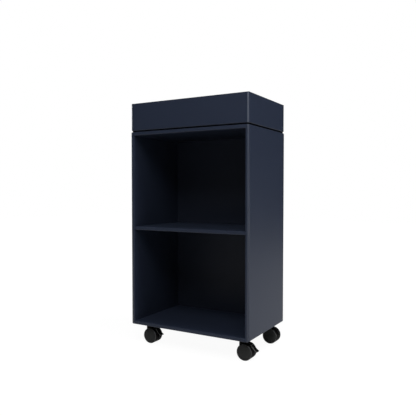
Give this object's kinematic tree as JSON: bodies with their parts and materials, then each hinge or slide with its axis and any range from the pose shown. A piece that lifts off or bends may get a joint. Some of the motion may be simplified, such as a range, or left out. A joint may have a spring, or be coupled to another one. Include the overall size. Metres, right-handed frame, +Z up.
{
  "type": "rolling shelf unit",
  "caption": "Open rolling shelf cabinet with one shelf, a low open box on top over a shadow gap, and twin-wheel casters with front brakes.",
  "frame": {"origin": "on the floor under the middle of the cabinet, midway between the four caster stems", "axes": "+Z up, +X to the right when facing the open front, which looks along -Y; the wheels trail towards +X at rest"},
  "size_m": [0.482, 0.3, 0.868],
  "materials": {
    "navy_lacquer": "matte dark navy lacquer",
    "black_lacquer": "matte black",
    "birch": "bare plywood",
    "black_plastic": "matte",
    "liner_plastic": "fine grained",
    "caster_plastic": "satin moulded nylon",
    "wheel_plastic": "satin moulded nylon",
    "steel": "zinc plated"
  },
  "bodies": {
    "cabinet": {"left_side_board": "navy_lacquer", "right_side_board": "navy_lacquer", "top_board": "navy_lacquer", "bottom_board": "navy_lacquer", "back_board": "navy_lacquer", "middle_shelf": "navy_lacquer", "box_front_wall": "navy_lacquer", "box_back_wall": "navy_lacquer", "box_left_wall": "navy_lacquer", "box_right_wall": "navy_lacquer", "box_floor": "navy_lacquer", "shelf_pins": "steel", "cabinet_feathers": "birch", "box_spacer": "black_lacquer", "box_feathers": "birch", "box_screws": "steel", "screw_caps": "black_plastic", "front_left_plate": "steel", "front_left_plate_screws": "steel", "front_left_kingpin": "steel", "front_left_snap_ring": "steel", "front_right_plate": "steel", "front_right_plate_screws": "steel", "front_right_kingpin": "steel", "front_right_snap_ring": "steel", "rear_left_plate": "steel", "rear_left_plate_screws": "steel", "rear_left_kingpin": "steel", "rear_left_snap_ring": "steel", "rear_right_plate": "steel", "rear_right_plate_screws": "steel", "rear_right_kingpin": "steel", "rear_right_snap_ring": "steel"},
    "liner": {"box_liner": "liner_plastic"},
    "front_left_fork": {"front_left_hood": "caster_plastic", "front_left_axle": "steel", "front_left_brake_pin": "steel"},
    "front_left_front_wheel": {"front_left_wheel_front": "wheel_plastic"},
    "front_left_back_wheel": {"front_left_wheel_back": "wheel_plastic"},
    "front_left_pedal": {"front_left_brake_pedal": "caster_plastic"},
    "front_right_fork": {"front_right_hood": "caster_plastic", "front_right_axle": "steel", "front_right_brake_pin": "steel"},
    "front_right_front_wheel": {"front_right_wheel_front": "wheel_plastic"},
    "front_right_back_wheel": {"front_right_wheel_back": "wheel_plastic"},
    "front_right_pedal": {"front_right_brake_pedal": "caster_plastic"},
    "rear_left_fork": {"rear_left_hood": "caster_plastic", "rear_left_axle": "steel"},
    "rear_left_front_wheel": {"rear_left_wheel_front": "wheel_plastic"},
    "rear_left_back_wheel": {"rear_left_wheel_back": "wheel_plastic"},
    "rear_right_fork": {"rear_right_hood": "caster_plastic", "rear_right_axle": "steel"},
    "rear_right_front_wheel": {"rear_right_wheel_front": "wheel_plastic"},
    "rear_right_back_wheel": {"rear_right_wheel_back": "wheel_plastic"}
  },
  "joints": [
    {"name": "liner_lift", "type": "slide", "parent": "cabinet", "child": "liner", "axis": [0, 0, 1], "range_m": [0, 0.12]},
    {"name": "front_left_swivel", "type": "hinge", "parent": "cabinet", "child": "front_left_fork", "pos_m": [-0.19, -0.106, 0.06], "axis": [0, 0, 1], "continuous": true},
    {"name": "front_left_front_wheel_spin", "type": "hinge", "parent": "front_left_fork", "child": "front_left_front_wheel", "pos_m": [-0.173, -0.106, 0.0275], "axis": [0, 1, 0], "continuous": true},
    {"name": "front_left_back_wheel_spin", "type": "hinge", "parent": "front_left_fork", "child": "front_left_back_wheel", "pos_m": [-0.173, -0.106, 0.0275], "axis": [0, 1, 0], "continuous": true},
    {"name": "front_left_brake_tilt", "type": "hinge", "parent": "front_left_fork", "child": "front_left_pedal", "pos_m": [-0.16055, -0.106, 0.04743], "axis": [0, 1, 0], "range_deg": [0, 8]},
    {"name": "front_right_swivel", "type": "hinge", "parent": "cabinet", "child": "front_right_fork", "pos_m": [0.19, -0.106, 0.06], "axis": [0, 0, 1], "continuous": true},
    {"name": "front_right_front_wheel_spin", "type": "hinge", "parent": "front_right_fork", "child": "front_right_front_wheel", "pos_m": [0.207, -0.106, 0.0275], "axis": [0, 1, 0], "continuous": true},
    {"name": "front_right_back_wheel_spin", "type": "hinge", "parent": "front_right_fork", "child": "front_right_back_wheel", "pos_m": [0.207, -0.106, 0.0275], "axis": [0, 1, 0], "continuous": true},
    {"name": "front_right_brake_tilt", "type": "hinge", "parent": "front_right_fork", "child": "front_right_pedal", "pos_m": [0.21945, -0.106, 0.04743], "axis": [0, 1, 0], "range_deg": [0, 8]},
    {"name": "rear_left_swivel", "type": "hinge", "parent": "cabinet", "child": "rear_left_fork", "pos_m": [-0.19, 0.106, 0.06], "axis": [0, 0, 1], "continuous": true},
    {"name": "rear_left_front_wheel_spin", "type": "hinge", "parent": "rear_left_fork", "child": "rear_left_front_wheel", "pos_m": [-0.173, 0.106, 0.0275], "axis": [0, 1, 0], "continuous": true},
    {"name": "rear_left_back_wheel_spin", "type": "hinge", "parent": "rear_left_fork", "child": "rear_left_back_wheel", "pos_m": [-0.173, 0.106, 0.0275], "axis": [0, 1, 0], "continuous": true},
    {"name": "rear_right_swivel", "type": "hinge", "parent": "cabinet", "child": "rear_right_fork", "pos_m": [0.19, 0.106, 0.06], "axis": [0, 0, 1], "continuous": true},
    {"name": "rear_right_front_wheel_spin", "type": "hinge", "parent": "rear_right_fork", "child": "rear_right_front_wheel", "pos_m": [0.207, 0.106, 0.0275], "axis": [0, 1, 0], "continuous": true},
    {"name": "rear_right_back_wheel_spin", "type": "hinge", "parent": "rear_right_fork", "child": "rear_right_back_wheel", "pos_m": [0.207, 0.106, 0.0275], "axis": [0, 1, 0], "continuous": true}
  ]
}
